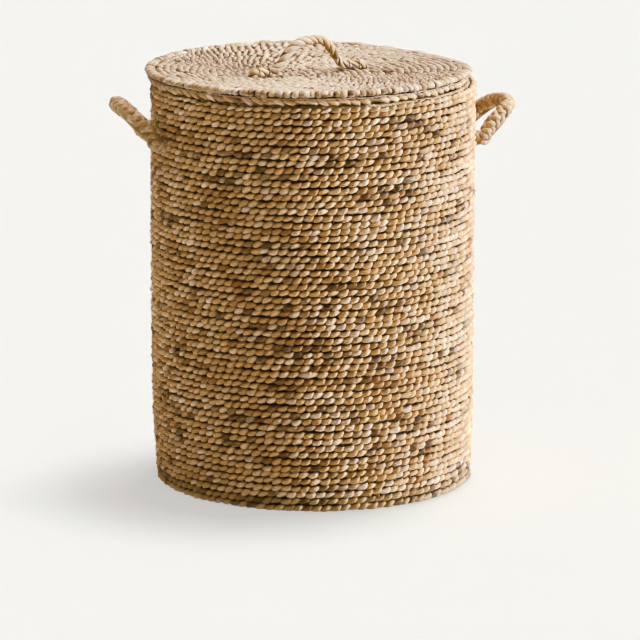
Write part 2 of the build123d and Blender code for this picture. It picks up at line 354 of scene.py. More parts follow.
@dataclass(frozen=True)
class CordFinish(Finish):
    """Dried stalk twisted into a plain round cord, seen on the stakes, spokes and cores."""

    pale: Colour = colour(196, 158, 108)
    deep: Colour = colour(122, 86, 48)
    turns: float = 260.0

    def inputs(self, s: Sketch) -> dict[str, object]:
        """Wind fine ridges round the cord, over an uneven tone.

        Args:
            s: the tree's sketch.

        Returns:
            What goes into the shader.
        """
        place = s.add("ShaderNodeTexCoord").outputs["Object"]
        twist = s.add("ShaderNodeTexWave", {"Vector": place, "Scale": self.turns,
                                            "Distortion": 3.0, "Detail": 2.0},
                      bands_direction="DIAGONAL")
        grain = s.noise(place, scale=900.0, detail=3.0)
        tone = s.noise(place, scale=40.0, detail=3.0)
        base = s.mix(s.span(tone, 0.35, 0.65), self.deep, self.pale)
        height = s.maths("ADD", twist.outputs["Fac"], grain)
        return {"Base Color": s.mix(s.maths("MULTIPLY", grain, 0.5), base, self.deep),
                "Roughness": s.span(grain, 0.3, 0.7, 0.65, 0.85),
                "Normal": s.bump(0.6, 0.4 * MM, height)}


@dataclass(frozen=True)
class FloorFinish(Finish):
    """Plain pale floor of the studio."""

    tone: Colour = colour(191, 191, 189)

    def inputs(self, s: Sketch) -> dict[str, object]:
        """Give one even matt tone."""
        return {"Base Color": self.tone, "Roughness": 0.9, "Specular IOR Level": 0.1}


# ------------------------------------------------------------------ meshes
def turn_into_mesh(name: str, work: bmesh.types.BMesh) -> Mesh:
    """Make a mesh of what has been built, and free the work.

    Args:
        name: the mesh's name.
        work: what has been built.

    Returns:
        The mesh.
    """
    mesh = bpy.data.meshes.new(name)
    work.to_mesh(mesh)
    work.free()
    return mesh


def lay_grids(name: str, steps: list[int], around: int) -> Mesh:
    """Lay out one flat grid for each strand, told apart by its height, and return the mesh.

    Args:
        name: the mesh's name.
        steps: points along each strand.
        around: points round a strand.

    Returns:
        The mesh.
    """
    work = bmesh.new()
    work.loops.layers.uv.new(STRAND_UV)
    for index, count in enumerate(steps):
        bmesh.ops.create_grid(work, x_segments=count, y_segments=around, size=1.0,
                              matrix=Matrix.Translation((0, 0, index)), calc_uvs=True)
    return turn_into_mesh(name, work)


def read_points(mesh: Mesh) -> np.ndarray:
    """Places of a mesh's points, one row each.

    Args:
        mesh: the mesh.

    Returns:
        The places.
    """
    flat = np.empty(len(mesh.vertices) * 3, np.float32)
    mesh.vertices.foreach_get("co", flat)
    return flat.reshape(-1, 3).astype(float)


def write_points(mesh: Mesh, points: np.ndarray) -> None:
    """Put a mesh's points in new places."""
    mesh.vertices.foreach_set("co", points.astype(np.float32).ravel())
    mesh.update()


def write_beans(mesh: Mesh, dye: tuple[np.ndarray, ...], depth: np.ndarray) -> None:
    """Give each point its bean's tone, stain and blush, and how deep it lies in the work, for
    painted shade.

    Args:
        mesh: the mesh.
        dye: tone, stain and blush of each point.
        depth: how deep each lies.
    """
    colours = np.ones((len(depth), 4), np.float32)
    for channel, values in enumerate(dye):
        colours[:, channel] = values
    held = mesh.attributes.new(BEAN_DYE, "FLOAT_COLOR", "POINT").data
    held.foreach_set("color", colours.ravel())
    held = mesh.attributes.new(BEAN_DEPTH, "FLOAT", "POINT").data
    held.foreach_set("value", depth.astype(np.float32))


def stretch_uv(mesh: Mesh, strand: np.ndarray, beans: np.ndarray) -> None:
    """Stretch each strand's UV to one unit a bean along it, and shift it from the others.

    Args:
        mesh: the mesh.
        strand: each point's strand.
        beans: how many beans each point's strand has.
    """
    layer = mesh.uv_layers[STRAND_UV].data
    uv = np.empty(len(layer) * 2, np.float32)
    layer.foreach_get("uv", uv)
    uv = uv.reshape(-1, 2)
    corner = np.empty(len(mesh.loops), np.int32)
    mesh.loops.foreach_get("vertex_index", corner)
    uv[:, 0] = uv[:, 0] * beans[corner] + strand[corner] * UV_SHIFT[0]
    uv[:, 1] = uv[:, 1] + strand[corner] * UV_SHIFT[1]
    layer.foreach_set("uv", uv.ravel())


def finish_mesh(name: str, mesh: Mesh) -> Object:
    """Close the seams of a mesh in its final place, shade it smooth and put it in the scene.

    Args:
        name: the piece's name.
        mesh: the mesh, in its final place.

    Returns:
        The new object.
    """
    work = bmesh.new()
    work.from_mesh(mesh)
    bmesh.ops.remove_doubles(work, verts=work.verts, dist=SEAM_GAP)
    for face in work.faces:
        face.smooth = True
    work.to_mesh(mesh)
    work.free()
    piece = bpy.data.objects.new(name, mesh)
    bpy.context.scene.collection.objects.link(piece)
    return piece


def cylindrical(radius: np.ndarray, turn: np.ndarray, height: np.ndarray) -> np.ndarray:
    """Points at some radii, angles and heights about the Z axis, one row each."""
    sides = np.broadcast_arrays(radius * np.cos(turn), radius * np.sin(turn), height)
    return np.stack(sides, axis=1)


def unit(rows: np.ndarray) -> np.ndarray:
    """Rows of the same direction and of length one."""
    return rows / np.linalg.norm(rows, axis=1, keepdims=True)


def full_turn(count: int) -> np.ndarray:
    """Even angles round a circle."""
    return np.linspace(0, 2 * pi, count, endpoint=False)


# ------------------------------------------------------------------ twined work
@dataclass(frozen=True)
class Course:
    """One twined course: two strands that turn half round each other between stakes.

    radius and height place the middle of the course. lean is the way its outside face looks:
    0 outwards, pi / 2 upwards. width is the room it has across its face, reach how far a float
    stands from the middle, depth half of a strand's thickness, and climb how far a strand steps
    across the course on its way through. start turns the whole course, and slant leans its beans.
    """

    radius: float
    height: float
    lean: float
    stakes: int
    width: float
    reach: float
    depth: float
    climb: float
    start: float = 0.0
    slant: float = 0.35


@dataclass(frozen=True)
class Dyeing:
    """How the colour changes from bean to bean over a piece of work.

    tone is the middle tone, from 0 (deep) to 1 (pale), spread how much beans differ from it, and
    drift how much whole patches do. stained, clustered and blushed are shares of marked beans:
    stained anywhere, stained in patches, and blushed.
    """

    seed: int
    tone: float = 0.56
    spread: float = 0.17
    drift: float = 0.14
    stained: float = 0.05
    clustered: float = 0.10
    blushed: float = 0.035


class Weave:
    """Makes courses of twined work as closed tubes.

    PLUMP and FULL round off a float (lower is squarer), HEAD moves its highest point past its
    middle, OUTWARD brings both strands towards the outer face, and BLEND sets how fast one bean
    turns into the next. The spreads are how much the beans differ, as shares of a size or in
    metres. SUNK beans lie deeper, and WOBBLES bend whole courses, by so many millimetres. The
    PATCH and DARK values shape the patches of tone and of stains, and STAIN_RUN is how often a
    stain runs on to the strand's next bean.
    """

    PLUMP = 0.55
    FULL = 0.55
    HEAD = 1.45
    OUTWARD = 0.34
    BLEND = 2.6
    CROSSING_WIDTH = 0.66
    CROSSING_DEPTH = 0.78
    WIDTH_SPREAD = 0.085
    DEPTH_SPREAD = 0.08
    CLIMB_SPREAD = 0.18
    LEAD_SPREAD = 0.14
    LIFT_SPREAD = 0.45 * MM
    STEP_SPREAD = 0.42 * MM
    SUNK_SHARE = 0.06
    SUNK = (0.8, 2.4)
    FULL_SLANT_RADIUS = 60 * MM
    LEAST_RADIUS = 8 * MM
    WOBBLES = (0.4, 0.34, 0.28, 0.22)
    WOBBLE_OUT = 0.6
    ROW_SPREAD = 0.05
    PATCH_TURNS = (1, 12)
    PATCH_RISE = 60.0
    PATCH_SHARE = 0.5
    DARK_RISE = 1.7
    DARK_FROM = 0.4
    DARK_MOST = 2
    STAIN_RUN = 0.4
    STAINED = (0.45, 1.0)
    CLEAN = (0, 0.12)
    BLUSHED = (0.5, 1.0)

    def __init__(self, segments: int = 6, around: int = 8) -> None:
        """Keep how many faces a bean has along and round it."""
        self.segments = segments
        self.around = around

    @classmethod
    def _waves(cls, rng: np.random.Generator, angle: np.ndarray, height: np.ndarray,
               count: int = 9) -> np.ndarray:
        """Smooth patches over the work, the same after a full turn, of about unit size.

        Args:
            rng: where the random numbers come from.
            angle: each bean's angle.
            height: each bean's height.
            count: how many waves are laid over each other.

        Returns:
            One value for each bean.
        """
        total = np.zeros_like(angle)
        for _ in range(count):
            turns = rng.integers(*cls.PATCH_TURNS)
            rise = rng.normal(0, cls.PATCH_RISE)
            total += np.cos(turns * angle + rise * height + rng.uniform(0, 2 * pi))
        return total * (2 / count) ** 0.5

    def build(self, name: str, courses: list[Course], dyeing: Dyeing) -> Object:
        """Weave some courses as one piece.

        Args:
            name: the piece's name.
            courses: the courses, in any order.
            dyeing: how the beans differ in colour.

        Returns:
            The new object, with its place in its mesh.
        """
        rng = np.random.default_rng(dyeing.seed)
        floats = np.repeat([course.stakes for course in courses], 2)
        mesh = lay_grids(name, [int(n) * self.segments for n in floats], self.around)
        flat = read_points(mesh)
        strand = np.rint(flat[:, 2]).astype(int)
        row, twin = strand // 2, strand % 2

        def of(part: str) -> np.ndarray:
            """One size of the course that each point belongs to."""
            return np.array([getattr(course, part) for course in courses], float)[row]

        stakes = of("stakes")
        along = (flat[:, 0] + 1) / 2 * stakes
        turn = (flat[:, 1] + 1) * pi
        first = np.concatenate([[0], np.cumsum(floats)[:-1]])
        total = int(floats.sum())
        lower = np.floor(along - 0.5).astype(int)
        share = np.clip((along - 0.5 - lower - 0.5) * self.BLEND + 0.5, 0, 1)
        share = share * share * (3 - 2 * share)
        size = floats[strand]
        near = first[strand] + lower % size
        far = first[strand] + (lower + 1) % size

        def each(values: np.ndarray) -> np.ndarray:
            """A value that each bean has of its own, carried over to the next at the crossing."""
            return values[near] * (1 - share) + values[far] * share

        step_number = np.floor(along)
        inside_float = along - step_number
        phase = pi * (step_number + inside_float ** self.HEAD + twin + 0.5)
        swing = np.cos(phase)
        out = np.sign(swing) * np.abs(swing) ** self.PLUMP
        out = out * (1 - self.OUTWARD) + self.OUTWARD
        full = np.abs(swing) ** self.FULL
        half_width = of("width") / 2 * each(rng.normal(1.0, self.WIDTH_SPREAD, total))
        half_width *= self.CROSSING_WIDTH + (1 - self.CROSSING_WIDTH) * full
        half_depth = of("depth") * (self.CROSSING_DEPTH + (1 - self.CROSSING_DEPTH) * full)
        half_depth *= each(rng.normal(1.0, self.DEPTH_SPREAD, total))
        sunk = np.where(rng.random(total) < self.SUNK_SHARE,
                        rng.uniform(*self.SUNK, total), 0.0) * MM
        lift = each(rng.normal(0, self.LIFT_SPREAD, total) - sunk) * full * np.sign(swing)
        pace = pi * (along + twin + 0.5)
        step = of("climb") * np.sin(pace) * each(rng.normal(1.0, self.CLIMB_SPREAD, total))
        step = step + each(rng.normal(0, self.STEP_SPREAD, total))
        lead = each(rng.normal(0, self.LEAD_SPREAD, total)) * full

        normal = of("reach") * out + lift + half_depth * np.cos(turn)
        across = step + half_width * np.sin(turn)
        radius, lean = of("radius"), of("lean")
        scale = np.minimum(1.0, radius / self.FULL_SLANT_RADIUS)
        slide = of("slant") * scale * across / np.maximum(radius, self.LEAST_RADIUS)
        angle = 2 * pi * (along + lead) / stakes + of("start") + slide
        ring = radius + normal * np.cos(lean) - across * np.sin(lean)
        height = of("height") + normal * np.sin(lean) + across * np.cos(lean)

        wobble_phase = rng.uniform(0, 2 * pi, (len(courses), len(self.WOBBLES)))
        wobble = np.zeros_like(angle)
        for harmonic, amount in enumerate(self.WOBBLES):
            wobble += amount * MM * np.sin((harmonic * 5 + 2) * angle + wobble_phase[row, harmonic])
        height = np.maximum(height + wobble * np.cos(lean), FLOOR_GAP)
        write_points(mesh, cylindrical(ring + wobble * self.WOBBLE_OUT, angle, height))

        centre_angle = np.concatenate([(np.arange(n) + 0.5) * 2 * pi / n for n in floats])
        centre_height = np.repeat([c.height + c.radius * sin(c.lean) for c in courses], 2)
        centre_height = np.repeat(centre_height, floats)
        patch = self._waves(rng, centre_angle, centre_height)
        dark_patch = self._waves(rng, centre_angle, centre_height * self.DARK_RISE)
        row_tone = np.repeat(rng.normal(0, self.ROW_SPREAD, len(floats)), floats)
        tone = dyeing.tone + dyeing.spread * rng.normal(0, 1, total)
        tone = tone + dyeing.drift * patch * self.PATCH_SHARE + row_tone
        dark = np.clip(dark_patch - self.DARK_FROM, 0, self.DARK_MOST)
        chance = dyeing.stained + dyeing.clustered * dark
        stained = rng.random(total) < chance
        stained |= np.roll(stained, 2) & (rng.random(total) < self.STAIN_RUN)
        stain = np.where(stained, rng.uniform(*self.STAINED, total),
                         rng.uniform(*self.CLEAN, total))
        blush = np.where(rng.random(total) < dyeing.blushed,
                         rng.uniform(*self.BLUSHED, total), 0.0)
        # How deep each point lies between the faces, which the finish paints as shade.
        reach = of("reach") + of("depth")
        write_beans(mesh, (each(np.clip(tone, 0, 1)), each(stain), each(blush)),
                    np.clip(1 - np.abs(normal) / reach, 0, 1))
        stretch_uv(mesh, strand, stakes)
        return finish_mesh(name, mesh)


# ------------------------------------------------------------------ laid rope
@dataclass(frozen=True)
class Lay:
    """How the strands of a rope lie round its middle line.

    strands turn one way and, when braided is true, as many again turn the other way and pass over
    and under them, by weave. turns is how often a strand goes round along the whole path.
    """

    strands: int
    turns: int
    radius: float
    half_width: float
    half_depth: float
    weave: float = 0.0
    braided: bool = False
    beans_a_turn: int = 4


class Rope:
    """Makes rope as closed strands along a path.

    On an open path the strands fade away over the last bean, to FADED of their thickness and to
    END_REACH of their distance from the middle line. STAINED, CLEAN and BLUSHED are the strengths
    of those marks.
    """

    FADE_RATE = 1.2
    FADED = 0.02
    END_REACH = 0.35
    STAINED = (0.3, 0.9)
    CLEAN = 0.03
    BLUSHED = (0.4, 1)

    def __init__(self, path: np.ndarray, closed: bool, around: int = 8) -> None:
        """Keep the points of the middle line, and work out its frames.

        Args:
            path: points of the middle line.
            closed: whether the last point joins the first.
            around: points round a strand.
        """
        self.path = path
        self.closed = closed
        self.around = around
        self.tangent = self._tangents(path)
        self.side = self._sides()
        self.up = np.cross(self.tangent, self.side)

    def _tangents(self, line: np.ndarray) -> np.ndarray:
        """Unit directions along a line of points.

        Args:
            line: the points.

        Returns:
            One direction for each point.
        """
        if self.closed:
            step = np.roll(line, -1, axis=0) - np.roll(line, 1, axis=0)
        else:
            step = np.gradient(line, axis=0)
        return unit(step)

    def _sides(self) -> np.ndarray:
        """Carry a side direction along the path without twist, and close it on a closed path.

        Returns:
            One direction for each point.
        """
        side = np.zeros_like(self.path)
        start = np.cross(self.tangent[0], (0.3, 0.2, 0.93))
        side[0] = start / np.linalg.norm(start)
        for i in range(1, len(self.path)):
            carried = side[i - 1] - self.tangent[i] * np.dot(side[i - 1], self.tangent[i])
            side[i] = carried / np.linalg.norm(carried)
        if not self.closed:
            return side
        last = side[-1] - self.tangent[0] * np.dot(side[-1], self.tangent[0])
        up = np.cross(self.tangent[0], side[0])
        error = np.arctan2(np.dot(last, up), np.dot(last, side[0]))
        back = -error * np.arange(len(side)) / len(side)
        other = np.cross(self.tangent, side)
        return side * np.cos(back)[:, None] + other * np.sin(back)[:, None]

    def _at(self, values: np.ndarray, share: np.ndarray) -> np.ndarray:
        """Values of the path at shares of its length, from 0 to 1.

        Args:
            values: one value for each point of the path.
            share: the shares.

        Returns:
            One value for each share.
        """
        count = len(values)
        steps = share * (count if self.closed else count - 1)
        low = np.floor(steps).astype(int)
        part = (steps - low)[:, None]
        high = low + 1
        if self.closed:
            low, high = low % count, high % count
        else:
            low, high = np.clip(low, 0, count - 1), np.clip(high, 0, count - 1)
        return values[low] * (1 - part) + values[high] * part

    def build(self, name: str, lay: Lay, dyeing: Dyeing, steps: int,
              swell: float = 0.06) -> Object:
        """Lay the strands as one piece.

        Args:
            name: the piece's name.
            lay: how the strands lie.
            dyeing: how the beans differ in colour.
            steps: faces along each strand.
            swell: how much the strands differ in thickness from bean to bean.

        Returns:
            The new object.
        """
        rng = np.random.default_rng(dyeing.seed)
        count = lay.strands * (2 if lay.braided else 1)
        mesh = lay_grids(name, [steps] * count, self.around)
        flat = read_points(mesh)
        strand = np.rint(flat[:, 2]).astype(int)
        share = (flat[:, 0] + 1) / 2
        beans = lay.turns * lay.beans_a_turn
        bean = np.floor(share * beans + 0.5).astype(int) % beans
        place = np.empty_like(flat)
        depth = np.zeros(len(flat))
        dye = np.ones((3, len(flat)))
        line_share = np.linspace(0, 1, steps + 1)
        end_fade = np.ones(steps + 1)
        if not self.closed:
            from_end = np.minimum(line_share, 1 - line_share) * beans
            end_fade = np.clip(from_end * self.FADE_RATE, self.FADED, 1) ** 0.5
        for index in range(count):
            here = strand == index
            way = -1 if index >= lay.strands else 1
            offset = 2 * pi * (index % lay.strands) / lay.strands
            spin = way * 2 * pi * lay.turns * line_share + offset
            pass_over = way * lay.weave * np.cos(2 * lay.strands * pi * lay.turns * line_share)
            sizes = rng.normal(1.0, swell, beans + 1)
            sizes[-1] = sizes[0]
            swollen = np.interp(line_share * beans, np.arange(beans + 1), sizes)
            reach = (lay.radius + pass_over) * (self.END_REACH + (1 - self.END_REACH) * end_fade)
            outward = (self._at(self.side, line_share) * np.cos(spin)[:, None]
                       + self._at(self.up, line_share) * np.sin(spin)[:, None])
            centre = self._at(self.path, line_share) + outward * reach[:, None]
            heading = np.gradient(centre, axis=0)
            if self.closed:
                heading[0] = heading[-1] = centre[1] - centre[-2]
            heading = unit(heading)
            outward = unit(outward - heading * np.sum(outward * heading, axis=1, keepdims=True))
            across = np.cross(heading, outward)
            at = np.rint(share[here] * steps).astype(int)
            turn = (flat[here, 1] + 1) * pi
            wide = lay.half_width * swollen[at] * end_fade[at]
            deep = lay.half_depth * swollen[at] * end_fade[at]
            place[here] = (centre[at] + outward[at] * (np.cos(turn) * deep)[:, None]
                           + across[at] * (np.sin(turn) * wide)[:, None])
            # How deep each point lies in the rope, which the finish paints as shade in its creases.
            rise = reach[at] + np.cos(turn) * deep
            depth[here] = np.clip(1 - rise / (lay.radius + lay.weave + lay.half_depth), 0, 1)
            tone = np.clip(rng.normal(dyeing.tone, dyeing.spread, beans), 0, 1)
            stain = np.where(rng.random(beans) < dyeing.stained,
                             rng.uniform(*self.STAINED, beans), self.CLEAN)
            blush = np.where(rng.random(beans) < dyeing.blushed,
                             rng.uniform(*self.BLUSHED, beans), 0.0)
            for channel, values in enumerate((tone, stain, blush)):
                dye[channel, here] = values[bean[here]]
        write_points(mesh, place)
        write_beans(mesh, dye, depth)
        stretch_uv(mesh, strand, np.full(len(flat), beans))
        return finish_mesh(name, mesh)


def eased(points: np.ndarray, passes: int, closed: bool, count: int) -> np.ndarray:
    """Round the corners of a line of points and space it evenly.

    Args:
        points: the line, closely spaced.
        passes: how many times each point moves to the middle of its neighbours.
        closed: whether the last point joins the first.
        count: how many points to give back.

    Returns:
        The eased line.
    """
    line = points.copy()
    for _ in range(passes):
        if closed:
            line = 0.5 * line + 0.25 * (np.roll(line, 1, axis=0) + np.roll(line, -1, axis=0))
        else:
            line[1:-1] = 0.5 * line[1:-1] + 0.25 * (line[:-2] + line[2:])
    if closed:
        line = np.vstack([line, line[:1]])
    length = np.concatenate([[0], np.cumsum(np.linalg.norm(np.diff(line, axis=0), axis=1))])
    even = np.linspace(0, length[-1], count + 1 if closed else count)
    spaced = np.stack([np.interp(even, length, line[:, axis]) for axis in range(3)], axis=1)
    return spaced[:-1] if closed else spaced


def densely(corners: list[Point], step: float = 0.5 * MM) -> np.ndarray:
    """Points at a small even step along straight runs between some corners.

    Args:
        corners: the corners, in order.
        step: the distance between points.

    Returns:
        The points.
    """
    runs = []
    for start, end in zip(corners, corners[1:]):
        start, end = np.array(start, float), np.array(end, float)
        number = max(2, ceil(np.linalg.norm(end - start) / step))
        shares = np.linspace(0, 1, number, endpoint=False)[:, None]
        runs.append(start + (end - start) * shares)
    runs.append(np.array(corners[-1:], float))
    return np.vstack(runs)


# ------------------------------------------------------------------ dressing
def dress(piece: Object, material: Material, note: str) -> None:
    """Give a new piece its material, and log it.

    Args:
        piece: the piece.
        material: what the piece is made of.
        note: what the log says of it.
    """
    piece.data.materials.clear()
    piece.data.materials.append(material)
    LOG.info("%s: %d faces, %s", piece.name, len(piece.data.polygons), note)


def recoat(node: str, material: Material) -> None:
    """Give a CAD node, which keeps its shape, a better material.

    Args:
        node: the node's name.
        material: its new material.
    """
    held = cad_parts[node]
    if not held.material_slots:
        held.data.materials.append(material)
    for place in held.material_slots:
        place.material = material


# ------------------------------------------------------------------ sub-assemblies
@dataclass
class Hamper:
    """The basket: its twined wall, border course, base edge and base disc."""

    row: float = 8.7 * MM
    rows: int = 60
    wall_radius: float = 210.0 * MM
    base_radius: float = 205.0 * MM
    inner_radius: float = 187.8 * MM
    taper_rows: int = 10
    stakes: int = 104
    start: float = radians(22.5)
    course_width: float = 0.95
    border_width: float = 0.76
    slant: float = 0.34
    strand_depth: float = 4.3 * MM
    climb: float = 0.85 * MM
    lean_out: float = 1.8 * MM
    border_drop: float = 1.7 * MM
    core_radius: float = 197.5 * MM
    shade_sheet_half: float = 0.5 * MM
    base_rows: int = 2
    band_rows: int = 10
    base_middle: float = 9.2 * MM
    base_thickness: float = 15.0 * MM
    weave: Weave = field(default_factory=Weave)

    def radius_at(self, row: int) -> float:
        """Outside radius of a course, counted from 0 at the floor."""
        share = min(1.0, (row + 0.5) / self.taper_rows)
        return self.base_radius + (self.wall_radius - self.base_radius) * share

    def course(self, row: int, rng: np.random.Generator) -> Course:
        """One course of the wall.

        Args:
            row: the course, counted from 0 at the floor.
            rng: where the random numbers come from.

        Returns:
            The course.
        """
        outside = self.radius_at(row)
        middle = (outside + self.inner_radius) / 2
        reach = (outside - self.inner_radius) / 2 - self.strand_depth
        start = self.start + rng.uniform(-0.5, 0.5) * 2 * pi / self.stakes
        return Course(radius=middle, height=(row + 0.5) * self.row, lean=0.0, stakes=self.stakes,
                      width=self.row * self.course_width, reach=reach, depth=self.strand_depth,
                      climb=self.climb, start=start, slant=self.slant)

    def build_wall(self, finish: Material, rim: Material, shade_sheet: Material) -> None:
        """Weave the wall in bands, fill its middle, and cover the top hoop.

        Args:
            finish: the wall's stalk.
            rim: the border's stalk.
            shade_sheet: what fills the middle, a dark sheet whose colour is painted shade between
                strands.
        """
        rng = np.random.default_rng(11)
        courses = [self.course(row, rng) for row in range(self.rows)]
        courses[-1] = replace(courses[-1], width=self.row * self.border_width,
                              height=courses[-1].height - self.border_drop)
        body = courses[self.base_rows:-1]
        for band, low in enumerate(range(0, len(body), self.band_rows)):
            piece = self.weave.build(f"wall_weave_band_{band + 1}",
                                     body[low:low + self.band_rows], Dyeing(seed=100 + band))
            self.sway(piece)
            dress(piece, finish, "twined wall")
            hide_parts("wall_outer_weave", "wall_inner_weave")
            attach(piece, Body.BASKET.value)
        border = self.weave.build("wall_border_course", courses[-1:], Dyeing(seed=140))
        dress(border, rim, "top course over the hoop")
        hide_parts("wall_rim_course")
        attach(border, Body.BASKET.value)
        self.wrap_hoop(rim)
        self.fill_wall(shade_sheet)

    def wrap_hoop(self, finish: Material) -> None:
        """Wind thin strands tightly round the top hoop, under the border course.

        Args:
            finish: what the piece is made of.
        """
        path = cylindrical(self.core_radius, full_turn(RING_POINTS), (self.rows - 0.5) * self.row)
        lay = Lay(strands=4, turns=60, radius=2.9 * MM, half_width=2.1 * MM, half_depth=0.8 * MM)
        piece = Rope(path, closed=True, around=6).build("wall_hoop_wrap", lay, Dyeing(seed=145),
                                                        steps=720, swell=0.03)
        dress(piece, finish, "strands round the hoop")
        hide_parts("wall_rim_course")
        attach(piece, Body.BASKET.value)

    def fill_wall(self, finish: Material) -> None:
        """Fill the wall's middle with a dark sheet of painted shade, so no light comes through
        between strands.

        Args:
            finish: the sheet's dark material, painted shade.
        """
        work = bmesh.new()
        bmesh.ops.create_grid(work, x_segments=2 * self.stakes, y_segments=48, size=1.0)
        mesh = turn_into_mesh("wall_shade_sheet", work)
        flat = read_points(mesh)
        turn = (flat[:, 0] + 1) * pi
        loop = (flat[:, 1] + 1) / 2
        height = self.row + (1 - np.abs(2 * loop - 1)) * (self.rows - 2) * self.row
        rows = np.arange(self.rows)
        radius = np.interp(height / self.row - 0.5, rows,
                           [(self.radius_at(row) + self.inner_radius) / 2 for row in rows])
        radius += self.shade_sheet_half * np.clip(4 * np.sin(2 * pi * loop), -1, 1)
        write_points(mesh, cylindrical(radius, turn, height))
        piece = finish_mesh("wall_shade_sheet", mesh)
        self.sway(piece)
        dress(piece, finish, "filling between the faces")
        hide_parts("wall_outer_weave", "wall_inner_weave")
        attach(piece, Body.BASKET.value)

    def sway(self, piece: Object) -> None:
        """Let the soft wall lean a little to the left at its middle height.

        Args:
            piece: the piece.
        """
        points = read_points(piece.data)
        points[:, 0] -= self.lean_out * np.sin(pi * points[:, 2] / (self.rows * self.row))
        write_points(piece.data, points)

    def build_base(self, finish: Material) -> None:
        """Weave the base edge and the base disc.

        Args:
            finish: what the piece is made of.
        """
        rng = np.random.default_rng(12)
        edge = self.weave.build("base_edge_weave",
                                [self.course(row, rng) for row in range(self.base_rows)],
                                Dyeing(seed=150, stained=0.12))
        dress(edge, finish, "rounded lowest courses")
        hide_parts("base_edge_course")
        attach(edge, Body.BASKET.value)
        disc = Disc(outer=self.inner_radius - 0.4 * MM, pitch=8.6 * MM, middle=self.base_middle,
                    thickness=self.base_thickness, dish=0.0, span=self.inner_radius)
        piece = disc.build("base_disc_weave", Dyeing(seed=160))
        dress(piece, finish, "both faces of the base")
        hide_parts("base_lower_weave", "base_upper_weave")
        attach(piece, Body.BASKET.value)


@dataclass
class Disc:
    """A round twined disc, flat or dished, that closes at its middle."""

    outer: float
    pitch: float
    middle: float
    thickness: float
    dish: float
    span: float
    bean: float = 12.0 * MM
    strand_depth: float = 3.1 * MM
    climb: float = 2.0 * MM
    overlap: float = 1.04
    eye: float = 0.35
    ring_start: float = 0.37

    def height(self, radius: float) -> float:
        """Height of the middle of the work at a radius."""
        return self.middle - self.dish * (1 - (radius / self.span) ** 2)

    def courses(self) -> list[Course]:
        """Rings of the disc, from its edge to its middle.

        Returns:
            The rings.
        """
        rings = []
        count = int(self.outer / self.pitch)
        pitch = self.outer / (count + self.eye)
        for ring in range(count):
            radius = self.outer - (ring + 0.5) * pitch
            stakes = max(4, 2 * round(pi * radius / self.bean))
            lean = pi / 2 + 2 * self.dish * radius / self.span ** 2
            rings.append(Course(radius=radius, height=self.height(radius), lean=lean,
                                stakes=stakes, width=pitch * self.overlap,
                                reach=self.thickness / 2 - self.strand_depth,
                                depth=self.strand_depth, climb=self.climb,
                                start=ring * self.ring_start))
        return rings

    def build(self, name: str, dyeing: Dyeing, shift: float = 0.0) -> Object:
        """Weave the disc, move it along X by shift, and return the new object.

        Args:
            name: the piece's name.
            dyeing: how the beans differ in colour.
            shift: how far it moves along X.

        Returns:
            The new object.
        """
        piece = Weave(segments=5, around=7).build(name, self.courses(), dyeing)
        piece.data.transform(Matrix.Translation((shift, 0, 0)))
        return piece


@dataclass
class SideHandle:
    """A braided rope loop that goes through the wall and along its inside."""

    body: Body
    side: int
    height: float
    tilt: float
    reach: float = 41.5 * MM
    hinge_radius: float = 214.77 * MM
    hinge_half: float = 47.24 * MM
    run_radius: float = 178.1 * MM
    run_angle: float = radians(13.0)
    arch: float = 8.5 * MM
    arch_ease: float = 0.7
    loop_steps: int = 60
    run_steps: int = 20
    bean_steps: int = 7
    blend_half: float = 7.0 * MM
    lay: Lay = Lay(strands=3, turns=12, radius=6.0 * MM, half_width=3.9 * MM,
                   half_depth=3.1 * MM, weave=1.3 * MM, braided=True, beans_a_turn=6)

    def path(self) -> np.ndarray:
        """Closed middle line: the loop outside, the two holes and the run inside.

        Returns:
            The points of the line.
        """
        leg = self.reach / cos(self.tilt) - self.hinge_half
        points = []
        for turn in np.linspace(0, pi, self.loop_steps + 1):
            y = -self.hinge_half * cos(turn)
            out = leg + self.hinge_half * sin(turn)
            share = min(1.0, out / (leg + self.hinge_half))
            arch = self.arch * sin(pi * share ** self.arch_ease)
            points.append((self.side * (self.hinge_radius + out * cos(self.tilt)), y,
                           self.height + out * sin(self.tilt) + arch))
        ends = [(self.side * self.hinge_radius, y, self.height)
                for y in (self.hinge_half, -self.hinge_half)]
        inside = [(self.side * self.run_radius * cos(turn), self.run_radius * sin(turn),
                   self.height)
                  for turn in np.linspace(self.run_angle, -self.run_angle, self.run_steps + 1)]
        whole = [ends[1], *points, ends[0], *inside, ends[1]]
        return eased(densely(whole)[:-1], passes=60, closed=True, count=720)

    def build(self, material: Material) -> None:
        """Braid the rope, and bake its place into its mesh.

        Args:
            material: what the piece is made of.
        """
        piece = Rope(self.path(), closed=True).build(
            f"{self.body.value}_rope", self.lay, Dyeing(seed=200 + self.side, tone=0.66),
            steps=self.lay.turns * self.lay.beans_a_turn * self.bean_steps, swell=0.14)
        dress(piece, material, "braided loop")
        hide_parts(f"{self.body.value}_wrap", f"{self.body.value}_inner_run")
        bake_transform(piece)


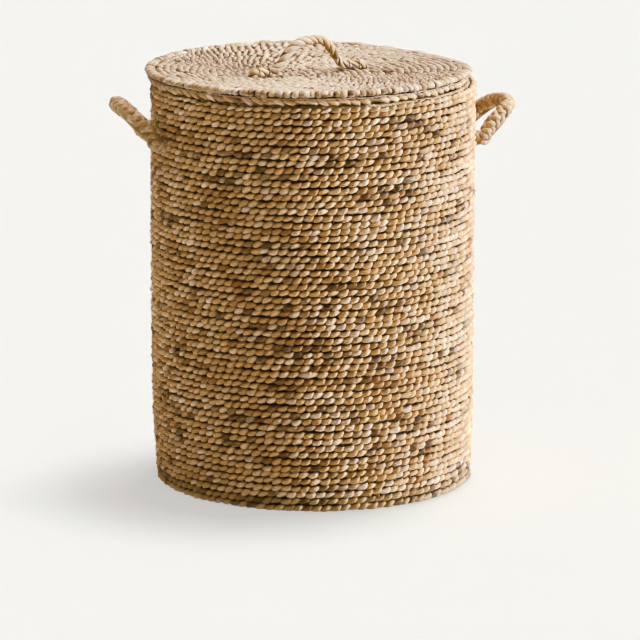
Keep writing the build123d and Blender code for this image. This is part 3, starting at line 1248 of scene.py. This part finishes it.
@dataclass
class Lid:
    """The loose lid: its disc, rims, seam, locating ring and rope handle."""

    shift: float = -5.0 * MM
    radius: float = 212.5 * MM
    lower_radius: float = 208.0 * MM
    disc_radius: float = 197.5 * MM
    hoop_radius: float = 203.0 * MM
    bottom: float = 522.5 * MM
    wire_height: float = 531.2 * MM
    crest: float = 541.5 * MM
    dish: float = 11.0 * MM
    under: float = 7.2 * MM
    locator_outer: float = 181.5 * MM
    locator_inner: float = 172.5 * MM
    locator_depth: float = 14.0 * MM
    sunk: tuple[tuple[float, float, float], ...] = (
        (radians(22.0), radians(60.0), 0.66), (radians(128.0), radians(40.0), 0.06))
    drawn_in: float = 0.991
    rim_wraps: int = 168
    rim_points: int = 12
    rim_reach: float = 4.6 * MM
    rim_rise: float = 2.0 * MM
    rim_out: float = 0.4 * MM
    rim_up: float = 0.5 * MM
    rim_skew: float = 0.008
    rim_slip: float = 0.007
    lower_beans: int = 94
    lower_depth: float = 2.9 * MM
    lower_overlap: float = 1.04
    seam_waves: tuple[tuple[int, float], ...] = ((23, 0.35 * MM), (41, 0.25 * MM))
    locator_rows: int = 2
    locator_beans: int = 90
    locator_pitch: float = 7.2 * MM
    locator_overlap: float = 1.02
    locator_strand: float = 2.6 * MM
    rope_diameter: float = 11.4 * MM
    rope_turn: float = radians(16.0)
    rope_half: float = 49.0 * MM
    rope_tail: float = 33.0 * MM
    rope_rise: float = 37.0 * MM
    rope_lean: float = 8.0 * MM
    rope_arch: tuple[tuple[float, float], ...] = ((1.0, 0.0), (0.56, 0.86), (0.16, 1.0))
    tail_drop: float = 1.0 * MM
    tip: tuple[float, float] = (4 * MM, 9 * MM)
    stitch_shares: tuple[float, float] = (0.3, 0.75)
    stitch_radius: float = 0.6 * MM

    def place(self, piece: Object) -> None:
        """Move a piece built about the Z axis to where the lid sits.

        Args:
            piece: the piece.
        """
        points = read_points(piece.data)
        points[:, 0] = (points[:, 0] + self.radius) * self.drawn_in - self.radius + self.shift
        write_points(piece.data, points)

    def settle(self, piece: Object) -> None:
        """Press the top of a piece down towards the wire where the lid has sunk.

        Args:
            piece: the piece.
        """
        points = read_points(piece.data)
        turn = np.arctan2(points[:, 1], points[:, 0] - self.shift)
        radius = np.hypot(points[:, 0] - self.shift, points[:, 1])
        share = np.zeros(len(points))
        for place, width, amount in self.sunk:
            away = np.abs((turn - place + pi) % (2 * pi) - pi)
            share += amount * np.cos(np.clip(away / width, 0, 1) * pi / 2) ** 2
        share *= np.clip(radius / self.radius, 0, 1) ** 3
        above = np.maximum(points[:, 2] - self.wire_height, 0)
        points[:, 2] -= above * share
        write_points(piece.data, points)

    def top_at(self, radius: float) -> float:
        """Height of the top face at a radius."""
        return self.crest - self.dish * (1 - (radius / self.hoop_radius) ** 2)

    def build_disc(self, material: Material) -> None:
        """Weave the dished disc, top and underside in one.

        Args:
            material: what the piece is made of.
        """
        low = self.wire_height - self.under
        disc = Disc(outer=self.disc_radius + 1.0 * MM, pitch=8.4 * MM,
                    middle=(self.crest + low) / 2 - 0.3 * MM, thickness=self.crest - low,
                    dish=self.dish, span=self.hoop_radius, bean=10.4 * MM)
        piece = disc.build("lid_disc_weave",
                           Dyeing(seed=300, tone=0.68, spread=0.16, stained=0.015, clustered=0.02,
                                  blushed=0.18), self.shift)
        self.settle(piece)
        dress(piece, material, "dished disc")
        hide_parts("lid_top_weave", "lid_under_weave")
        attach(piece, Body.LID.value)

    def build_rims(self, upper: Material, lower: Material) -> None:
        """Wrap the upper rim, twine the lower one.

        Args:
            upper: the upper rim's stalk.
            lower: the lower rim's stalk.
        """
        turn = full_turn(self.rim_wraps * self.rim_points)
        coil = turn * self.rim_wraps
        ring = (self.radius + self.disc_radius) / 2 + self.rim_out + self.rim_reach * np.cos(coil)
        slips = np.random.default_rng(311).normal(0, self.rim_slip, self.rim_wraps)
        turn = turn - self.rim_skew * np.sin(coil) + Wrap.between(slips, coil / (2 * pi))
        middle = (self.crest + self.wire_height) / 2 + self.rim_up
        path = cylindrical(ring, turn, middle + self.rim_rise * np.sin(coil))
        piece = Wrap(path, self.rim_wraps).build(
            "lid_upper_rim", half_width=4.6 * MM, half_depth=2.5 * MM,
            dyeing=Dyeing(seed=310, tone=0.55, spread=0.24, stained=0.07, blushed=0.2))
        self.place(piece)
        self.settle(piece)
        dress(piece, upper, "wrapped rim")
        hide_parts("lid_upper_rim_course")
        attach(piece, Body.LID.value)
        course = Course(radius=(self.disc_radius + self.lower_radius) / 2,
                        height=(self.wire_height + self.bottom) / 2 + 0.3 * MM, lean=0.0,
                        stakes=self.lower_beans,
                        width=(self.wire_height - self.bottom) * self.lower_overlap,
                        depth=self.lower_depth, climb=-1.0 * MM, slant=-0.45,
                        reach=(self.lower_radius - self.disc_radius) / 2 - self.lower_depth)
        piece = Weave().build("lid_lower_rim", [course], Dyeing(seed=320, tone=0.6))
        self.place(piece)
        dress(piece, lower, "twined lower rim")
        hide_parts("lid_lower_rim_course")
        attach(piece, Body.LID.value)

    def build_seam(self, material: Material) -> None:
        """Lay the two-ply thread between the rims.

        Args:
            material: what the piece is made of.
        """
        turn = full_turn(RING_POINTS)
        height = self.wire_height + sum(amount * np.sin(waves * turn)
                                        for waves, amount in self.seam_waves)
        path = cylindrical(self.lower_radius + 0.6 * MM, turn, height)
        lay = Lay(strands=2, turns=110, radius=0.5 * MM, half_width=0.7 * MM, half_depth=0.6 * MM)
        piece = Rope(path, closed=True, around=6).build("lid_seam_ply", lay, Dyeing(seed=330),
                                                        steps=1320, swell=0.03)
        self.place(piece)
        dress(piece, material, "seam thread")
        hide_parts("lid_seam_thread")
        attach(piece, Body.LID.value)

    def build_locator(self, material: Material) -> None:
        """Twine the ring that drops inside the wall.

        Args:
            material: what the piece is made of.
        """
        middle = (self.locator_outer + self.locator_inner) / 2
        reach = (self.locator_outer - self.locator_inner) / 2 - self.locator_strand
        low = self.bottom - 0.5 * MM - self.locator_depth
        pitch = self.locator_pitch
        courses = [Course(radius=middle, height=low + (row + 0.5) * pitch, lean=0.0,
                          stakes=self.locator_beans, width=pitch * self.locator_overlap,
                          reach=reach, depth=self.locator_strand, climb=1.6 * MM)
                   for row in range(self.locator_rows)]
        piece = Weave().build("lid_locating_weave", courses, Dyeing(seed=340))
        self.place(piece)
        dress(piece, material, "locating ring")
        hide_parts("lid_locating_ring")
        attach(piece, Body.LID.value)

    def rope_path(self) -> np.ndarray:
        """Middle line of the rope handle: a tail, an arch and a tail.

        Returns:
            The points of the line.
        """
        lift = self.rope_diameter / 2
        foot = self.top_at(self.rope_half) + lift
        tail_x = self.rope_half + self.rope_tail
        tail = self.top_at(tail_x) + lift
        half = [(tail_x + self.tip[0], 0, tail - self.tip[1]), (tail_x, 0, tail - self.tail_drop)]
        half += [(self.rope_half * out, 0, foot + self.rope_rise * up)
                 for out, up in self.rope_arch]
        corners = [(-x, y, z) for x, y, z in half] + half[::-1]
        line = eased(densely(corners), passes=260, closed=False, count=420)
        risen = np.clip((line[:, 2] - foot) / self.rope_rise, 0, 1)
        line[:, 0] += self.rope_lean * risen * np.clip(0.5 - line[:, 0] / self.rope_half, 0, 1)
        twist = Matrix.Rotation(self.rope_turn, 3, "Z")
        return line @ np.array(twist).T

    def build_handle(self, rope: Material, thread: Material) -> None:
        """Twist the rope handle and stitch its tails down.

        Args:
            rope: the rope's stalk.
            thread: the stitches' thread.
        """
        lay = Lay(strands=3, turns=6, radius=3.5 * MM, half_width=3.5 * MM,
                  half_depth=2.5 * MM, beans_a_turn=3)
        piece = Rope(self.rope_path(), closed=False, around=10).build(
            "lid_twisted_rope", lay, Dyeing(seed=350, tone=0.66, spread=0.2),
            steps=330, swell=0.18)
        self.place(piece)
        dress(piece, rope, "twisted handle")
        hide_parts("lid_handle_rope")
        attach(piece, Body.LID.value)
        self.build_stitches(thread)

    def build_stitches(self, material: Material) -> None:
        """Tie two loops of thread round each tail.

        Args:
            material: what the piece is made of.
        """
        work = bmesh.new()
        for side in (-1, 1):
            for share in self.stitch_shares:
                x = self.rope_half + self.rope_tail * share
                z = self.top_at(x) + self.rope_diameter / 2
                self._loop(work, side * x, z)
        bmesh.ops.rotate(work, verts=work.verts, cent=(0, 0, 0),
                         matrix=Matrix.Rotation(self.rope_turn, 3, "Z"))
        bmesh.ops.recalc_face_normals(work, faces=work.faces)
        piece = finish_mesh("lid_stitches", turn_into_mesh("lid_stitches", work))
        self.place(piece)
        dress(piece, material, "stitches")
        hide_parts("lid_handle_stitches")
        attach(piece, Body.LID.value)

    def _loop(self, work: bmesh.types.BMesh, x: float, z: float) -> None:
        """Add one loop of thread, upright across the rope, by turning a small circle.

        Args:
            work: the work to add to.
            x: where the loop stands along X.
            z: the height of its middle.
        """
        radius = self.rope_diameter / 2 + 0.2 * MM
        circle = bmesh.ops.create_circle(work, cap_ends=False, radius=self.stitch_radius,
                                         segments=8, matrix=Matrix.Translation((x, 0, z + radius)))
        start = circle["verts"]
        edges = list({edge for vert in start for edge in vert.link_edges})
        bmesh.ops.rotate(work, verts=start, cent=(x, 0, z + radius),
                         matrix=Matrix.Rotation(pi / 2, 3, "X"))
        bmesh.ops.spin(work, geom=start + edges, cent=(x, 0, z), axis=(1, 0, 0), angle=2 * pi,
                       steps=28, use_merge=True)


class Wrap:
    """A flat strand wound round and round a rim.

    The spreads are how much the wraps differ in size and in how far they stand off.
    """

    AROUND = 7
    SIZE_SPREAD = 0.12
    LIFT_SPREAD = 0.6 * MM
    STAIN = (0.7, 0.04)
    BLUSH = (0.8, 0.0)

    def __init__(self, path: np.ndarray, wraps: int) -> None:
        """Keep the coil's points and how many wraps it makes."""
        self.path = path
        self.wraps = wraps

    @staticmethod
    def between(values: np.ndarray, share: np.ndarray) -> np.ndarray:
        """Values between one wrap and the next."""
        return np.interp(share, np.arange(len(values) + 1), np.append(values, values[0]))

    def build(self, name: str, half_width: float, half_depth: float, dyeing: Dyeing) -> Object:
        """Wind the strand.

        Args:
            name: the piece's name.
            half_width: half of the strand's width along the rim.
            half_depth: half of its thickness.
            dyeing: how the wraps differ in colour.

        Returns:
            The new object.
        """
        rng = np.random.default_rng(dyeing.seed)
        steps = len(self.path)
        mesh = lay_grids(name, [steps], self.AROUND)
        flat = read_points(mesh)
        at = np.rint((flat[:, 0] + 1) / 2 * steps).astype(int) % steps
        turn = (flat[:, 1] + 1) * pi
        angle = np.arctan2(self.path[:, 1], self.path[:, 0])
        along_rim = cylindrical(1.0, angle + pi / 2, 0.0)
        heading = unit(np.roll(self.path, -1, axis=0) - np.roll(self.path, 1, axis=0))
        outward = unit(np.cross(along_rim, heading))
        across = np.cross(heading, outward)
        share = at / steps * self.wraps
        number = np.floor(share).astype(int) % self.wraps
        sizes = self.between(rng.normal(1.0, self.SIZE_SPREAD, self.wraps), share)
        lift = self.between(rng.normal(0, self.LIFT_SPREAD, self.wraps), share)
        place = (self.path[at]
                 + outward[at] * (np.cos(turn) * half_depth * sizes + lift)[:, None]
                 + across[at] * (np.sin(turn) * half_width * sizes)[:, None])
        write_points(mesh, place)
        tone = np.clip(rng.normal(dyeing.tone, dyeing.spread, self.wraps), 0, 1)
        stain = np.where(rng.random(self.wraps) < dyeing.stained, *self.STAIN)
        blush = np.where(rng.random(self.wraps) < dyeing.blushed, *self.BLUSH)
        # The wrap's inner face counts as deep, which the finish paints as shade.
        write_beans(mesh, (tone[number], stain[number], blush[number]),
                    np.clip(0.5 - 0.5 * np.cos(turn), 0, 1))
        stretch_uv(mesh, np.zeros(len(flat)), np.full(len(flat), self.wraps * 2))
        return finish_mesh(name, mesh)


# ------------------------------------------------------------------ studio
@dataclass(frozen=True)
class Sun:
    """One broad distant light.

    strength is its irradiance. azimuth is where it stands, from the front (-Y) towards the right
    (+X), height how high it stands above the floor, and spread how wide it looks, which softens
    its shadow. aim is what it falls on.
    """

    name: str
    strength: float
    azimuth: float
    height: float
    spread: float
    tint: tuple[float, float, float]
    aim: Aim


@dataclass
class Studio:
    """Floor, lights and camera."""

    distance: float = 5806.5 * MM
    camera_height: float = 1476.3 * MM
    azimuth: float = radians(-12.5)
    pitch: float = radians(12.35)
    aside: float = 8.3 * MM
    lens: float = 256.9
    floor_half: float = 20.0
    sky: Colour = (1.0, 0.92, 0.80, 1.0)
    sky_strength: float = 0.37
    suns: tuple[Sun, ...] = (
        Sun("side_key", 4.5, radians(73.0), radians(16.0), radians(20.0), (0.86, 1.0, 1.2),
            Aim.OBJECT),
        Sun("top_key", 2.45, radians(122.0), radians(76.0), radians(20.0), (1.0, 1.0, 1.0),
            Aim.ALL),
        Sun("floor_fill", 2.0, 0.0, radians(90.0), 0.0, (1.0, 0.995, 0.98), Aim.FLOOR))
    grade: tuple[tuple[int, tuple[tuple[float, float], ...]], ...] = (
        (0, ((0.1, 0.092), (0.32, 0.36), (0.5, 0.605), (0.72, 0.75))),
        (1, ((0.1, 0.089), (0.25, 0.29), (0.42, 0.54), (0.66, 0.715))),
        (2, ((0.05, 0.03), (0.1, 0.092), (0.2, 0.305), (0.35, 0.495), (0.6, 0.675))))

    def place_camera(self) -> None:
        """Set the camera at the product view."""
        data = bpy.data.cameras.new("product_view")
        data.lens = self.lens
        data.sensor_width = 36.0
        data.clip_end = 100.0
        camera = bpy.data.objects.new("product_view", data)
        right = (cos(self.azimuth), sin(self.azimuth))
        camera.location = (self.distance * sin(self.azimuth) + self.aside * right[0],
                           -self.distance * cos(self.azimuth) + self.aside * right[1],
                           self.camera_height)
        camera.rotation_euler = (pi / 2 - self.pitch, 0, self.azimuth)
        bpy.context.scene.collection.objects.link(camera)
        bpy.context.scene.camera = camera

    def lay_floor(self) -> None:
        """Lay the plain pale floor."""
        work = bmesh.new()
        bmesh.ops.create_grid(work, x_segments=4, y_segments=4, size=self.floor_half)
        mesh = turn_into_mesh("floor", work)
        floor = bpy.data.objects.new("floor", mesh)
        mesh.materials.append(FloorFinish("studio_floor").build())
        bpy.context.scene.collection.objects.link(floor)
        self.floor = floor

    def hang(self, sun: Sun) -> None:
        """Add one light, and keep it off what it isn't aimed at.

        Args:
            sun: the light.
        """
        data = bpy.data.lights.new(sun.name, "SUN")
        data.energy = sun.strength
        data.angle = sun.spread
        data.color = sun.tint
        lamp = bpy.data.objects.new(sun.name, data)
        lamp.rotation_euler = (pi / 2 - sun.height, 0, sun.azimuth)
        bpy.context.scene.collection.objects.link(lamp)
        if sun.aim is Aim.ALL:
            return
        linked = bpy.data.collections.new(f"{sun.name}_{sun.aim.value}")
        linked.objects.link(self.floor)
        lamp.light_linking.receiver_collection = linked
        if sun.aim is Aim.OBJECT:
            linked.collection_objects[0].light_linking.link_state = "EXCLUDE"
        else:
            lamp.light_linking.blocker_collection = linked

    def light(self) -> None:
        """Light the room evenly, with a broad key from the right."""
        world = bpy.data.worlds.new("studio")
        world.use_nodes = True
        background = world.node_tree.nodes["Background"]
        background.inputs[0].default_value = self.sky
        background.inputs[1].default_value = self.sky_strength
        bpy.context.scene.world = world
        for sun in self.suns:
            self.hang(sun)
        settings = bpy.context.scene.view_settings
        settings.view_transform = "Standard"
        settings.look = "None"
        settings.exposure = 0.0
        settings.use_curve_mapping = True
        mapping = settings.curve_mapping
        for channel, bends in self.grade:
            for low, high in bends:
                mapping.curves[channel].points.new(low, high)
        mapping.update()

    def build(self) -> None:
        """Make the whole studio."""
        self.place_camera()
        self.lay_floor()
        self.light()


@dataclass
class Frame:
    """CAD nodes that keep their shape and only get a better material."""

    wires: tuple[str, ...] = ("frame_top_hoop", "frame_middle_hoop", "frame_base_hoop",
                              "frame_uprights", "frame_base_cross", "lid_wire_hoop",
                              "lid_cross_wires")
    cords: tuple[str, ...] = ("wall_stakes", "base_spokes", "lid_spokes")
    cores: tuple[str, ...] = ("left_handle_core", "right_handle_core")

    def dress(self) -> None:
        """Give the wires, stakes and cores their materials."""
        wire = WireFinish("painted_wire").build()
        cord = CordFinish("stake_stalk").build()
        core = CordFinish("core_stalk", turns=180.0).build()
        for names, material in ((self.wires, wire), (self.cords, cord), (self.cores, core)):
            for name in names:
                recoat(name, material)
                LOG.info("%s: %s", name, material.name)


# Pale, middle and deep tone of each stalk, then changes to the finish; the strength changes set how
# dark the painted shade between strands gets.
STALKS = {
    "wall_stalk": ((238, 209, 168), (211, 168, 114), (158, 107, 57), {}),
    "border_stalk": ((236, 206, 162), (208, 166, 111), (154, 105, 56), {}),
    "base_stalk": ((214, 182, 134), (184, 146, 96), (132, 92, 50), {}),
    "lid_stalk": ((210, 186, 151), (188, 157, 118), (140, 104, 65),
                  {"crevice_shade_strength": 0.6, "streaks": 0.6}),
    "lid_edge_stalk": ((216, 192, 154), (186, 153, 108), (134, 98, 57), {}),
    "handle_stalk": ((219, 189, 146), (188, 150, 103), (136, 96, 56),
                     {"crevice_shade_strength": 0.95, "streaks": 0.6}),
    "lid_rope_stalk": ((230, 206, 166), (200, 164, 114), (144, 98, 50),
                       {"crevice_shade_strength": 0.95, "streaks": 0.5}),
    "pale_thread": ((226, 197, 168), (206, 172, 140), (168, 130, 98), {"crevice_shade_strength": 0.4}),
}


def main() -> None:
    """Build every sub-assembly in order."""
    logging.basicConfig(level=logging.INFO, format="%(name)s %(message)s")
    Studio().build()
    Frame().dress()
    finish = {name: StalkFinish(name, *(colour(*part) for part in parts), **changes).build()
              for name, (*parts, changes) in STALKS.items()}
    # The dark sheet inside the wall is painted shade, seen through the gaps between strands.
    shade_sheet = CordFinish("wall_shade_sheet_stalk", pale=colour(88, 60, 32), deep=colour(54, 35, 17)).build()
    hamper = Hamper()
    hamper.build_wall(finish["wall_stalk"], finish["border_stalk"], shade_sheet)
    hamper.build_base(finish["base_stalk"])
    top = Lid()
    top.build_disc(finish["lid_stalk"])
    top.build_rims(finish["lid_edge_stalk"], finish["wall_stalk"])
    top.build_seam(finish["pale_thread"])
    top.build_locator(finish["base_stalk"])
    top.build_handle(finish["lid_rope_stalk"], finish["pale_thread"])
    for handle in (SideHandle(Body.LEFT, -1, 452.0 * MM, radians(48.0)),
                   SideHandle(Body.RIGHT, 1, 446.0 * MM, radians(43.0))):
        handle.build(finish["handle_stalk"])


if __name__ == "__main__":
    main()
